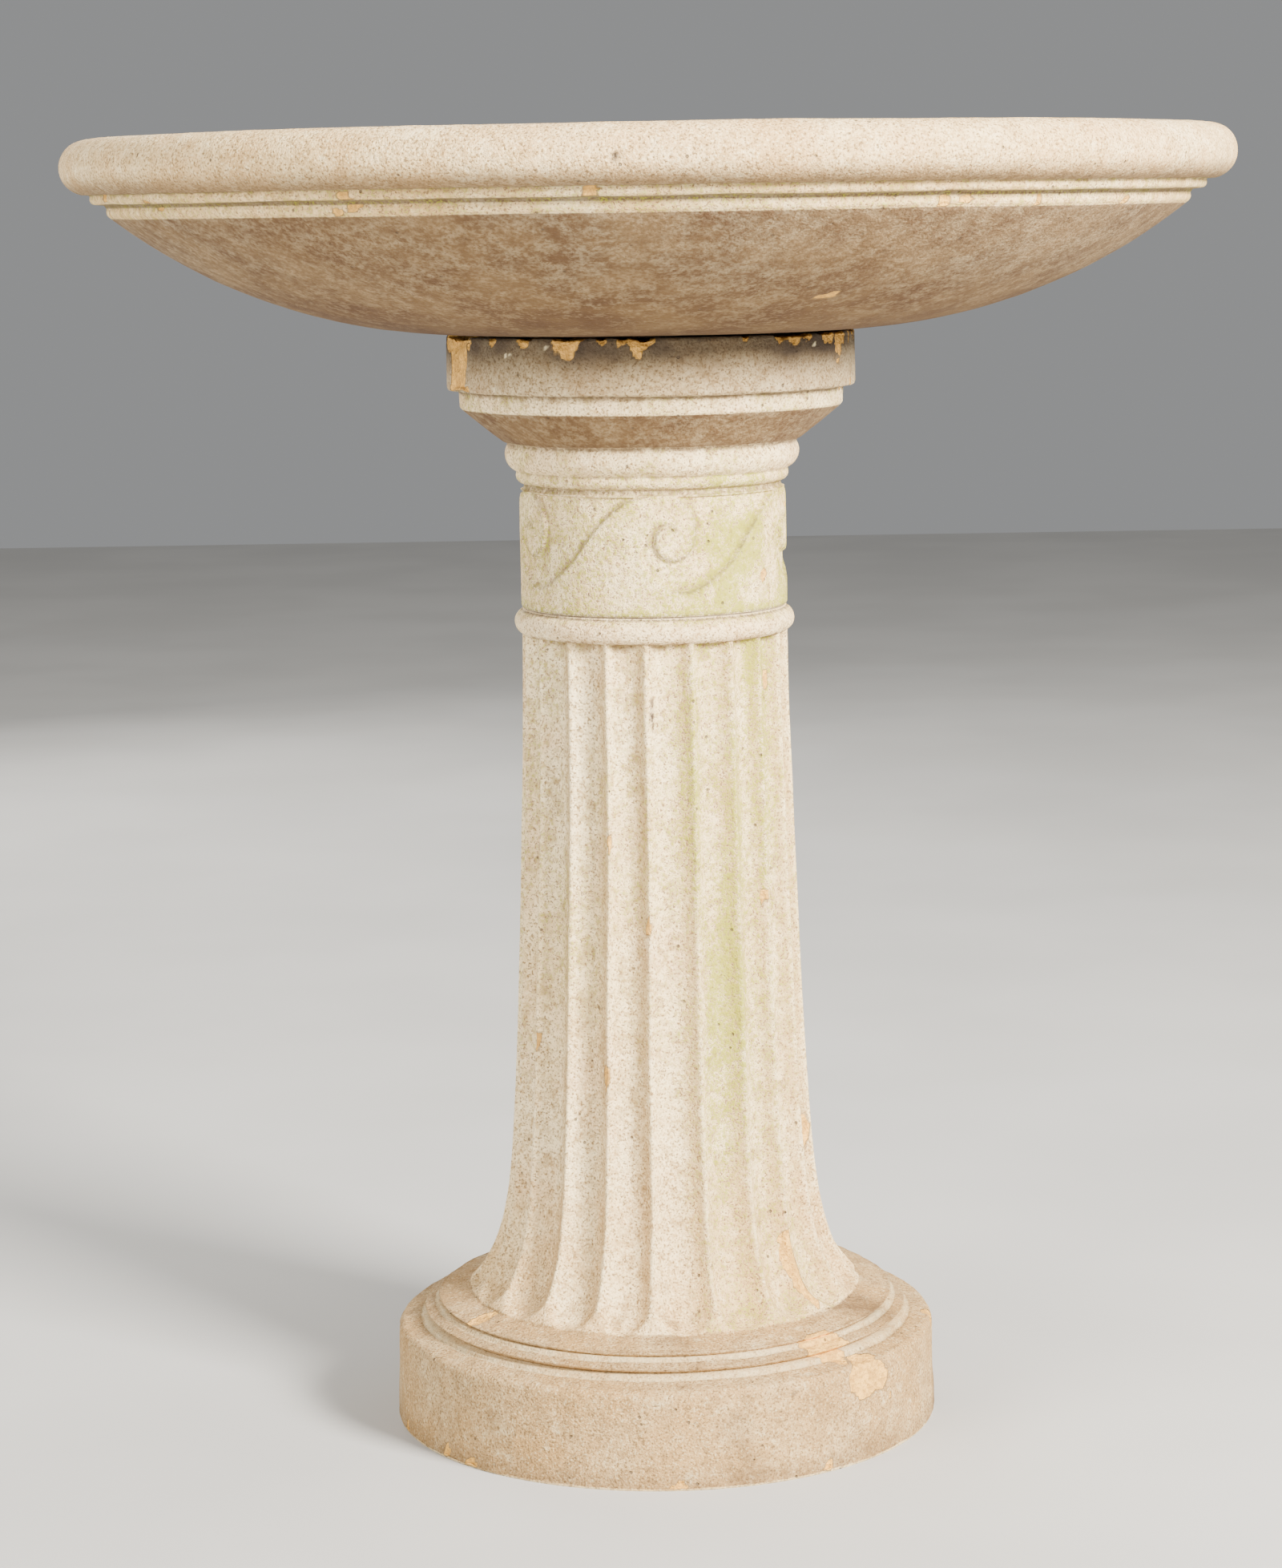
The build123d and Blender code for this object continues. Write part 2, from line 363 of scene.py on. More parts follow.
def shaft_section():
    """Outline of the shaft from its underside's inner edge, up the outside and down the core."""
    lower, upper = np.linspace(79.2, FLARE_TOP, 60), np.linspace(FLARE_TOP + 4, SHAFT_TOP - 0.4, 60)
    heights = np.concatenate([lower, upper])
    flare = np.stack([arris_radius(heights), heights], 1)
    edge = FOOT_RADIUS
    section = Section()
    section.add("under", straight((132, 0.0), (edge - 1.6, 0.0)), 9)
    section.add("foot", arc((edge - 1.6, 0.0), (edge - 0.5, 0.5), (edge - 0.1, 1.8)), 0.9)
    section.add("foot", straight((edge - 0.1, 1.8), (edge - 1.4, 53.5)), 2.9)
    section.add("foot", arc((edge - 1.4, 53.5), (edge - 3.0, 57.4), (edge - 7.6, 59.4)), 1.3)
    section.add("shoulder", straight((edge - 7.6, 59.4), (149.6, 61.4)), 2.0)
    section.add("groove", straight((149.6, 61.4), (148.6, 61.0), (148.3, 62.4)), 0.7)
    section.add("step", straight((148.3, 62.4), (148.2, 65.2)), 1.0)
    section.add("step", arc((148.2, 65.2), (147.4, 67.1), (145.2, 68.2)), 0.9)
    section.add("step", straight((145.2, 68.2), (141.0, 69.9)), 1.4)
    section.add("groove", straight((141.0, 69.9), (140.1, 69.8), (139.6, 71.0)), 0.7)
    section.add("step", arc((139.6, 71.0), (138.9, 73.5), (136.4, 74.6)), 0.9)
    section.add("ledge", straight((136.4, 74.6), (121.0, 78.3), flare[0] + (0.5, -0.1)), 2.2)
    section.add("flare", flare[: len(lower)], 2.1)
    section.add("flare", flare[len(lower) - 1 :], 4.8)
    bead_low, bead_high = (79.7, SHAFT_TOP - 0.2), (78.9, JOINT_HEIGHT - 0.3)
    section.add("bead", arc(bead_low, (84.0, JOINT_HEIGHT - 7.6), bead_high), 1.3)
    section.add("top", straight((78.6, JOINT_HEIGHT), (CORE_RADIUS, JOINT_HEIGHT)), 9)
    core = [(CORE_RADIUS, JOINT_HEIGHT), (CORE_RADIUS, 400), (57, 280), (63, 160), (76, 96)]
    section.add("core", through([*core, (101, 62), (124, 34), (132, 0)]), 30)
    section.drop_last()
    return section


def flute_depths(turned):
    """How deep the flutes cut at each point, and how far across its flute it is, from 0 to 1.

    A flute is a round channel, and its lower end is part of a ball.
    """
    wander = Noise(21)
    outer = turned.rows_of("flare", "ledge", "step")
    pitch = math.radians(360 / FLUTE_COUNT)
    z = np.maximum(turned.height, FLUTE_FOOT)
    base = arris_radius(z)
    slope = (arris_radius(z + 0.5) - arris_radius(z - 0.5)) * (z > FLUTE_FOOT - 1)
    length = np.hypot(1, slope)
    share = np.clip((SHAFT_TOP - z) / (SHAFT_TOP - FLUTE_FOOT), 0, 1)
    depth = FLUTE_DEPTHS[0] + (FLUTE_DEPTHS[1] - FLUTE_DEPTHS[0]) * share
    half_width = base * math.sin(pitch / 2) * FLUTE_FILL
    curve = (half_width**2 + depth**2) / (2 * depth)
    lift = curve - depth
    from_out = base + lift / length - turned.radius
    from_up = z - lift * slope / length - turned.height
    above = from_out * turned.normal_out + from_up * turned.normal_up
    beside = from_out**2 + from_up**2 - above**2
    skin = turned.places()
    drift = 0.5 * wander(skin * (0.3, 0.3, 1.0), 120.0) + 0.2 * wander(skin + 400, 30.0)
    index = np.arange(-1, FLUTE_COUNT + 2)
    cut_at = index * np.degrees(pitch) + np.array(ARRIS_ERRORS)[index % FLUTE_COUNT]
    turn = np.interp((turned.angle + drift - ARRIS_ANGLE) % 360, cut_at, index)
    across = turn - np.floor(turn)
    place = (across - 0.5) * pitch * turned.radius
    cut = np.sqrt(np.maximum(curve**2 - place**2 - beside, 0)) - above
    wear = ARRIS_WEAR * (1 + 0.6 * wander(skin + 90, 40.0))
    soft = 0.5 * (cut + np.sqrt(cut**2 + wear**2))
    return np.clip(soft, 0, FLUTE_DEPTHS[1] + 1) * outer * smooth_step(-9.0, -2.5, cut), across


def chip_shaft(turned):
    """The chips and the dark marks on the shaft and its foot."""
    flutes, foot, ledges = ("flare", "ledge"), ("foot", "shoulder"), ("step", "ledge")
    strike(turned, 50.5, 107.0, 13.0, 38.0, 2.4, flutes, 0.3)
    for chip in FLUTE_CHIPS:
        strike(turned, *chip, flutes)
    strike(turned, 47.0, 49.0, 36.0, 25.0, 1.8, foot, 0.3)
    strike(turned, 41.0, 68.0, 30.0, 15.0, 0.9, ("step", "groove", "shoulder"))
    strike(turned, -58.0, 76.0, 9.0, 6.0, 0.8, ledges)
    strike(turned, 53.9, 34.0, 2.4, 5.0, 1.2, foot)
    mark(turned, "line", -1.8, 438.0, 2.8, 20.0, flutes)
    mark(turned, "line", 26.8, 50.5, 4.0, 1.0, foot, amount=0.6)
    mark(turned, "line", -35.7, 48.6, 9.0, 1.4, foot)
    mark(turned, "line", 42.5, 74.0, 6.0, 1.8, ledges)
    mark(turned, "line", 40.9, 69.0, 1.6, 6.0, (*ledges, "groove"))
    scatter(turned, 23, 16, (95.0, 460.0), (3.0, 9.0), 1.0, flutes)
    scatter(turned, 24, 9, (50.0, 60.0), (5.0, 16.0), 1.2, foot)
    scatter(turned, 25, 8, (0.0, 4.0), (4.0, 14.0), 1.2, foot, ALL_ROUND)


def paint_shaft(turned, skin, base, depths, across):
    """Algae in runs down the right and the back, dirt on the foot, a dark joint under the capital, a painted
    shadow under the bead and painted shade in the flutes.
    """
    damp = Noise(26)
    height = turned.height
    fluted, grooves = turned.rows_of("flare"), turned.rows_of("groove")
    cavity = turned.hollows(3.0)
    right = smooth_step(0, 26, turned.angle) * smooth_step(75, 48, turned.angle)
    behind = 0.35 * smooth_step(120, 160, np.abs(turned.angle))
    runs = smooth_step(-0.1, 0.5, damp.rough(skin * (1, 1, 0.12), 16.0))
    fade = smooth_step(140, 330, height) * 0.75 + 0.25
    film = 0.12 + 0.2 * damp.rough(skin * (1, 1, 0.4) + 300, 30.0)
    growth = (right + behind) * (runs * fade + 0.25) + film * smooth_step(130, 300, height)
    joint = turned.rows_of("bead") * smooth_step(JOINT_HEIGHT - 6, JOINT_HEIGHT - 1, height)
    blotches = 0.5 + 0.5 * damp(skin + 200, 40.0)
    turned.paint["algae"] = 0.8 * growth * fluted + joint * blotches * (right + 0.3)
    seam = smooth_step(JOINT_HEIGHT - 1.5, JOINT_HEIGHT - 0.3, height) * (joint > 0)
    turned.cover("line", 0.9 * seam)
    # Painted shadow under the bead, where it overhangs the flutes.
    under_bead = smooth_step(SHAFT_TOP + 2, SHAFT_TOP - 1.5, height) * turned.rows_of("bead")
    turned.cover("line", 0.7 * under_bead)
    turned.paint["warm"] = np.maximum(base, fluted * smooth_step(210, 85, height) * 0.7)
    mottle = smooth_step(0.0, 0.6, damp.rough(skin + 60, 60.0))
    splashed = 0.38 + 0.45 * mottle + 0.2 * smooth_step(16, 2, height)
    turned.paint["stain_and_shade"] = base * splashed + 0.12 * turned.rows_of("step")
    turned.cover("lime", 0.35 * grooves)
    # Painted shade on the side of each flute next to its following arris.
    painted_flute_shade = smooth_step(0.55, 0.86, across) * smooth_step(1.0, 0.93, across) * smooth_step(0.5, 3.0, depths)
    turned.paint["shade"] = painted_flute_shade * fluted
    # Darker in the hollows: dirt and painted shade, with less of it in the flutes, grooves and foot.
    turned.paint["cavity"] = cavity * (1 - 0.62 * fluted) * (1 - grooves) * (1 - 0.75 * base)


def make_shaft():
    """The fluted shaft and the foot below it, which are one piece of clay."""
    turned = Turned(shaft_section(), 500)
    handwork = Noise(22)
    depths, across = flute_depths(turned)
    turned.push -= depths
    skin = turned.places()
    outside = turned.rows_of("foot", "shoulder", "step", "groove", "ledge", "flare", "bead")
    base = turned.rows_of("foot", "shoulder", "step", "groove", "ledge")
    turned.push -= outside * (0.35 + 0.35 * handwork(skin * (1, 1, 0.5), 45.0))
    turned.push -= base * (0.55 + 0.55 * handwork(skin + 50, 20.0))
    turned.push -= base * (0.4 + 0.4 * handwork.rough(skin + 90, 7.0))
    turned.push -= turned.rows_of("bead") * (0.3 + 0.3 * handwork(skin + 30, 14.0))
    turned.push -= outside * 0.1 * handwork.rough(skin, 6.0)
    chip_shaft(turned)
    paint_shaft(turned, skin, base, depths, across)
    return turned


# --- Capital ------------------------------------------------------------------------------

FRIEZE_RADIUS = 79.4
FRIEZE_RELIEF = 2.6
FRIEZE_TOP = 563.0
TORUS_TOP = 590.0
ABACUS_LOW = 621.6
SCROLL_UNITS = 5
SCROLL_EYE = (8.0, 535.0)  # angle and height of the eye that faces the camera
SCROLL_TOP = 28.6  # above the eye
SOCKET_RADIUS = 83.0
FAR = 99.0  # distance given to points that aren't on the frieze
# Outline of the sunk ground beside one scroll, as (arc length, height) from its eye.
WAVE_BACK = [(1.2, 9.6), (-6.6, 12.0), (-14.8, 8.2), (-19.4, 0), (-18.6, -10), (-12, -20), (0, -27)]
WAVE_FRONT = [
    (0, -27), (12, -27.4), (25, -21), (37.5, -11.6), (47.5, 0.2),
    (58, 11.8), (68, 20.8), (79, 26.6), (90, SCROLL_TOP),
]
CURL = [
    (0, SCROLL_TOP), (7.5, 23.2), (12.8, 15.6), (14.2, 7), (12.4, -1.2), (7.5, -7.6), (0, -9.5),
    (-7, -6), (-10, 0), (-8.8, 6.4), (-4, 9.2), (1.2, 6.8), (1.2, 9.6),
]


def capital_section():
    """Outline of the capital from its lower inner edge, up the outside and down the core."""
    low, top, ground = CAPITAL_LOW, SEAT_HEIGHT, FRIEZE_RADIUS - FRIEZE_RELIEF
    edge, face, core = ABACUS_RADIUS, FRIEZE_RADIUS, CORE_RADIUS + 2
    side, seat = edge - 0.1, top - 0.05  # just inside the CAD solid
    section = Section()
    section.add("under", straight((core, low), (face - 0.6, low)), 9)
    section.add("frieze", straight((face - 0.4, low + 0.2), (face, low + 1.0), (face, FRIEZE_TOP)), 0.92)
    section.add("neck", straight((face, FRIEZE_TOP), (ground + 0.3, 563.7), (ground, 565.8)), 0.8)
    section.add("neck", arc((ground, 565.8), (80.6, 568.0), (81.1, 573.4)), 0.8)
    section.add("torus", arc((81.1, 573.4), (87.9, 582.4), (86.3, 589.4)), 1.0)
    section.add("torus", straight((86.3, 589.4), (86.9, TORUS_TOP)), 0.6)
    section.add("echinus", arc((86.9, TORUS_TOP), (99.0, 599.4), (112.2, 610.4)), 2.2)
    section.add("fillet", arc((112.2, 610.4), (113.4, 611.4), (113.8, 613.0)), 0.8)
    section.add("fillet", straight((113.8, 613.0), (114.2, 620.2)), 1.5)
    section.add("fillet", straight((114.2, 620.2), (114.6, 621.0), (edge - 2.0, ABACUS_LOW)), 1.3)
    section.add("abacus", arc((edge - 2.0, ABACUS_LOW), (edge - 0.6, 622.0), (side, 623.4)), 0.8)
    section.add("abacus", straight((side, 623.4), (side, top - 2.6)), 1.2)
    section.add("abacus", arc((side, top - 2.6), (edge - 0.8, top - 0.8), (edge - 2.6, seat)), 0.8)
    section.add("seat", straight((edge - 2.6, seat), (edge - 12, seat)), 2.4)
    section.add("top", straight((edge - 12, seat), (SOCKET_RADIUS, seat)), 9)
    section.add("core", straight((SOCKET_RADIUS, seat), (SOCKET_RADIUS, top - 35)), 9)
    section.add("core", straight((SOCKET_RADIUS, top - 35), (core, top - 75)), 16)
    section.add("core", straight((core, top - 75), (core, low)), 29)
    section.drop_last()
    return section


def distance_to(points, line):
    """Distance of each point (n, 2) to a run of straight edges."""
    nearest = np.full(len(points), np.inf)
    for start, end in zip(line[:-1], line[1:]):
        edge = end - start
        part = np.clip(((points - start) @ edge) / max(edge @ edge, 1e-9), 0, 1)
        nearest = np.minimum(nearest, np.hypot(*(points - start - part[:, None] * edge).T))
    return nearest


def is_inside(points, outline):
    """True for each point (n, 2) inside a closed outline."""
    inside = np.zeros(len(points), bool)
    x, y = points.T
    for (ax, ay), (bx, by) in zip(outline, np.roll(outline, -1, 0)):
        crosses = (ay > y) != (by > y)
        level = (bx - ax) * (y - ay) / (by - ay if by != ay else 1e-9) + ax
        inside ^= crosses & (x < level)
    return inside


def scroll_relief(turned):
    """How sunk the frieze's ground is, from 0 to 1, and how far its outline is in millimetres.

    The outline is crisp along the wave's front and in the curl, and soft at the wave's back.
    """
    back, front, curl = (through(run, 8) for run in (WAVE_BACK, WAVE_FRONT, CURL))
    outline = np.vstack([back, front, curl[:-1]])
    pitch = math.radians(360 / SCROLL_UNITS) * FRIEZE_RADIUS
    eye_angle, eye_height = SCROLL_EYE
    sway = 0.9 * Noise(31)(turned.places(), 26.0)
    rows = np.flatnonzero(turned.rows_of("frieze")[:, 0])
    along = (np.radians(turned.angle - eye_angle) * FRIEZE_RADIUS + sway)[rows]
    up = (turned.height - eye_height + 0.6 * sway)[rows]
    depth = np.zeros(along.size)
    line = np.full(along.size, FAR)
    for shift in range(-3, 4):
        points = np.stack([along.ravel() - shift * pitch, up.ravel()], 1)
        near = np.flatnonzero((points[:, 0] > -24) & (points[:, 0] < 94))
        points = points[near]
        crisp = np.minimum(distance_to(points, front), distance_to(points, curl))
        soft = distance_to(points, back)
        inside = is_inside(points, outline)
        sunk = inside * np.minimum(smooth_step(-0.2, 1.7, crisp), smooth_step(-0.5, 3.2, soft))
        depth[near] = np.maximum(depth[near], sunk)
        line[near] = np.minimum(line[near], np.minimum(crisp, soft + 0.7))
    full_depth, full_line = np.zeros_like(turned.push), np.full_like(turned.push, FAR)
    full_depth[rows] = depth.reshape(len(rows), -1)
    full_line[rows] = line.reshape(len(rows), -1)
    return full_depth, full_line


# Angle and width of each chip in the abacus's upper edge, and how far it reaches down.
ABACUS_CHIPS = (
    (-48.8, 5.0, 4.0), (-36.3, 9.0, 4.0), (-23.5, 15.0, 10.3), (-13.4, 5.5, 4.0), (-7.6, 5.5, 3.8),
    (-3.0, 9.0, 8.6), (-1.2, 8.0, 4.5), (26.5, 3.5, 4.0), (38.0, 7.0, 4.5), (43.0, 12.0, 8.0),
    (48.0, 7.0, 4.0), (57.5, 12.0, 5.0), (64.5, 8.0, 13.5), (67.5, 6.0, 6.0), (72.9, 3.0, 5.0),
)
# Angle and height of each fleck of lime on the abacus.
ABACUS_FLECKS = ((-29.3, 650.1), (-43.4, 644.8), (-41.5, 645.5), (-3.9, 645.1), (-48.3, 625.3), (51.0, 648.4))


def chip_capital(turned):
    """The chips on the capital and the flecks of lime on its abacus."""
    abacus = ("abacus", "seat")
    strike(turned, -69.0, 638.0, 29.0, 52.0, 1.7, abacus)
    strike(turned, -75.0, 655.0, 70.0, 19.0, 1.9, abacus)
    strike(turned, -69.0, 622.0, 36.0, 13.0, 1.6, abacus)
    for angle, width, reach in ABACUS_CHIPS:
        strike(turned, angle, SEAT_HEIGHT, 1.2 * width, 2.5 * reach, 1.5, abacus, 0.6)
    scatter(turned, 33, 26, (651.0, 657.0), (4.0, 17.0), 1.5, abacus)
    scatter(turned, 34, 6, (620.0, 624.0), (4.0, 12.0), 1.2, ("abacus", "fillet"))
    strike(turned, 54.0, 513.0, 6.0, 8.0, 0.7, ("frieze",))
    scatter(turned, 35, 5, (500.0, 590.0), (3.0, 8.0), 0.8, ("frieze", "torus"))
    for angle, height in ABACUS_FLECKS:
        mark(turned, "lime", angle, height, 2.6, 2.2, abacus, 0.8, 0.9)


def paint_capital(turned, skin, line):
    """Algae on the frieze, dark lines with painted shade in its corners, painted shade on the echinus, and
    soot with painted shade on the abacus.
    """
    damp = Noise(36)
    height = turned.height
    frieze, abacus = turned.rows_of("frieze", "neck"), turned.rows_of("abacus")
    # Darker in the hollows: dirt and painted shade.
    turned.paint["cavity"] = turned.hollows(2.4)
    right = smooth_step(2, 34, turned.angle) * smooth_step(115, 80, turned.angle)
    behind = 0.3 * smooth_step(100, 150, np.abs(turned.angle))
    patches = smooth_step(-0.25, 0.55, damp.rough(skin * (1, 1, 0.6), 20.0))
    near_line = np.exp(-line / 3.0)
    green = (right + behind) * patches + near_line * (0.35 + 0.9 * right) * (0.4 + 0.6 * patches)
    foot = smooth_step(CAPITAL_LOW + 9, CAPITAL_LOW, height) * (0.35 + 0.5 * right + 0.3 * patches)
    faint = 0.24 + 0.18 * damp.rough(skin + 90, 26.0)
    film = 0.2 * patches * turned.rows_of("torus", "fillet")
    turned.paint["algae"] = np.clip(frieze * (green + foot + faint), 0, 1) + film
    # Dark lines along the scroll's outline: dirt and painted shade that make the relief read.
    turned.paint["line"] = frieze * np.exp(-line / 0.9) * (0.62 + 0.3 * damp(skin + 55, 12.0))
    # Height, spread, labels and darkness of the lines round the capital: the joint with the shaft, and
    # painted shade in the groove over the frieze, in the corner under the abacus and at the root of the
    # echinus.
    for middle, spread, labels, amount in (
        (CAPITAL_LOW, 0.9, ("frieze", "neck"), 0.9),
        (564.8, 1.3, ("neck",), 0.8),
        (621.2, 1.3, ("fillet",), 1.0),
        (TORUS_TOP, 1.2, ("torus", "echinus"), 0.9),
    ):
        trace = np.exp(-np.abs(height - middle) / spread) * turned.rows_of(*labels)
        turned.cover("line", amount * trace)
    # Painted shade under the bowl with dirt: the abacus darker towards its top.
    shade_and_grime = smooth_step(624, 650, height) * (0.86 + 0.2 * damp.rough(skin + 120, 30.0))
    turned.paint["soot_and_shade"] = np.clip(turned.rows_of("abacus", "seat") * (0.16 + shade_and_grime), 0, 1)
    # Painted shade: the echinus, under the abacus, brown all over, and the abacus partly brown.
    turned.paint["stain_and_shade"] = 0.92 * turned.rows_of("echinus") + 0.42 * abacus


def make_capital():
    """The capital: a frieze of running scrolls, a torus, an echinus and a round abacus."""
    turned = Turned(capital_section(), 500)
    handwork = Noise(32)
    sunk, line = scroll_relief(turned)
    turned.push -= FRIEZE_RELIEF * sunk
    skin = turned.places()
    outside = turned.rows_of("frieze", "neck", "torus", "echinus", "fillet", "abacus", "seat")
    turned.push -= outside * (0.25 + 0.25 * handwork(skin, 30.0))
    turned.push -= turned.rows_of("neck", "torus", "fillet") * (0.35 + 0.35 * handwork(skin + 70, 16.0))
    turned.push -= outside * 0.1 * handwork.rough(skin, 5.0)
    under_edge = turned.rows_of("abacus") * smooth_step(625, 622, turned.height)
    turned.push -= under_edge * (0.5 + 0.5 * handwork(skin + 20, 22.0))
    chip_capital(turned)
    paint_capital(turned, skin, line)
    return turned


# --- Bowl ---------------------------------------------------------------------------------

SEAT_RADIUS = 111.5  # of the flat that rests on the capital
UNDERSIDE_RADIUS = 328.0  # of the round from that flat up to the rim
UNDERSIDE_TURN = 38.0  # degrees that the round turns through
WALL = 28.0
ROLL_RADIUS = 16.5
FOOT_RING = (62.0, 80.0)  # inner and outer radius of the locating ring


def on_underside(radius, degrees):
    """Point on an arc about the underside's centre of curvature, from its lowest point."""
    turn = math.radians(degrees)
    height = SEAT_HEIGHT + UNDERSIDE_RADIUS - radius * math.cos(turn)
    return SEAT_RADIUS + radius * math.sin(turn), height


def bowl_section():
    """Outline of the bowl from the middle of its underside round to the middle of its floor."""
    low, seat, floor = FOOT_RING_LOW, SEAT_HEIGHT + 0.05, SEAT_HEIGHT + WALL
    inner = UNDERSIDE_RADIUS - WALL
    roll_middle, roll_centre = RIM_TOP - ROLL_RADIUS, BOWL_RADIUS - ROLL_RADIUS
    roll_low = (roll_centre + 1.5, roll_middle - ROLL_RADIUS + 0.3)
    edge, lip = (on_underside(radius, UNDERSIDE_TURN) for radius in (UNDERSIDE_RADIUS, inner))
    belly, hollow = (on_underside(radius, UNDERSIDE_TURN / 2) for radius in (UNDERSIDE_RADIUS, inner))
    ring_in, ring_out = FOOT_RING
    section = Section()
    section.add("under", straight((2.0, seat), (ring_in, seat)), 15)
    section.add("ring", straight((ring_in, seat), (ring_in, low), (ring_out - 3, low)), 8)
    section.add("ring", straight((ring_out - 3, low), (ring_out, low + 3), (ring_out, seat)), 6)
    section.add("seat", straight((ring_out, seat), (SEAT_RADIUS, seat)), 11)
    section.add("underside", arc((SEAT_RADIUS, seat), belly, edge, 80), 5.0)
    section.add("fillets", straight(edge, (314.6, 725.4)), 0.9)
    section.add("fillets", arc((314.6, 725.4), (316.5, 728.0), (316.5, 730.8)), 0.9)
    section.add("recess", straight((316.5, 730.8), (317.6, 732.3)), 0.7)
    section.add("recess", straight((317.6, 732.3), (322.8, 732.8)), 1.2)
    section.add("fillets", arc((322.8, 732.8), (325.3, 734.3), (325.9, 738.0)), 0.9)
    section.add("recess", straight((325.9, 738.0), (326.2, 738.4), roll_low), 0.8)
    section.add("roll", arc(roll_low, (BOWL_RADIUS, roll_middle), (roll_centre, RIM_TOP), 60), 1.9)
    section.add("crest", straight((roll_centre, RIM_TOP), (316, RIM_TOP)), 2.5)
    section.add("crest", arc((316, RIM_TOP), (308.9, RIM_TOP - 2.9), (306, RIM_TOP - 10)), 2)
    section.add("inside", straight((306, RIM_TOP - 10), lip), 4)
    section.add("inside", arc(lip, hollow, (SEAT_RADIUS, floor), 80), 8)
    section.add("floor", straight((SEAT_RADIUS, floor), (2.0, floor)), 14)
    return section


def chip_bowl(turned):
    """The dark pit in the rim and the chips on the rim and the underside."""
    pit = (-2.7, 753.0)
    strike(turned, *pit, 5.0, 4.6, 2.4, ("roll",), 0.2)
    mark(turned, "soot_and_shade", *pit, 5.4, 5.0, ("roll",))
    strike(turned, 24.0, 678.6, 13.0, 3.6, 0.7, ("underside",))
    scatter(turned, 43, 14, (726.0, 738.0), (4.0, 11.0), 1.2, ("fillets",), ALL_ROUND)
    scatter(turned, 44, 9, (745.0, 771.0), (3.0, 9.0), 1.0, ("roll", "crest"))
    turned.paint["chip"] = turned.paint["chip"] * (0.8 - turned.paint["soot_and_shade"])


def paint_bowl(turned, skin):
    """Brown underside with painted shade towards the seat, recess and lower roll darkened with dirt and
    painted shade, and a tide mark, silt and algae inside.
    """
    damp = Noise(46)
    height, reach = turned.height, turned.radius
    # Darker in the hollows: dirt and painted shade.
    turned.paint["cavity"] = turned.hollows(3.5)
    below, inside = turned.rows_of("underside", "seat", "ring", "under"), turned.rows_of("inside", "floor")
    recess = turned.rows_of("recess")
    # Lower side of the roll, under the rim: darkened with dirt and painted shade.
    low_roll = smooth_step(752, 739, height) * turned.rows_of("roll") * (turned.normal_out > 0)
    tide = np.exp(-np.abs(height - 742 - 2.5 * damp(skin + 10, 60.0)) / 4.0)
    silt = smooth_step(250, 60, reach)
    blots = 0.5 + 0.5 * damp.rough(skin + 33, 45.0)
    # Brown stain on the underside with painted shade, darker towards the seat.
    brown = 0.90 + 0.14 * smooth_step(290, 150, reach) + 0.08 * damp.rough(skin, 50.0)
    outer_stain_and_shade = below * brown + 0.75 * recess + 0.75 * low_roll
    turned.paint["stain_and_shade"] = outer_stain_and_shade + inside * (0.22 + 0.3 * tide + 0.35 * silt * blots)
    turned.paint["algae"] = inside * (0.12 + 0.4 * silt * blots + 0.2 * tide)
    turned.paint["algae"] += 0.25 * blots * turned.rows_of("fillets", "recess")
    # Painted shade under the bowl, darkest near the seat.
    shade_near_seat = 0.4 * smooth_step(230, 120, reach) * below
    turned.paint["soot_and_shade"] += inside * 0.25 * silt + shade_near_seat
    # The recess darkened with dirt and painted shade.
    turned.paint["soot_and_shade"] += 0.45 * recess
    turned.paint["warm"] = (0.45 + 0.4 * blots) * turned.rows_of("roll", "crest", "fillets")


def make_bowl():
    """The bowl with its rolled rim, which lifts off the capital."""
    turned = Turned(bowl_section(), 640)
    handwork = Noise(42)
    skin = turned.places()
    outside = turned.rows_of("underside", "fillets", "recess", "roll", "crest")
    turned.push -= outside * (0.4 + 0.4 * handwork(skin, 70.0))
    turned.push -= turned.rows_of("fillets", "recess") * (0.4 + 0.4 * handwork(skin + 30, 24.0))
    worked = turned.rows_of("underside", "roll", "crest", "inside", "floor")
    turned.push -= worked * (0.2 + 0.2 * handwork.rough(skin, 12.0))
    chip_bowl(turned)
    paint_bowl(turned, skin)
    return turned


# --- Materials ----------------------------------------------------------------------------


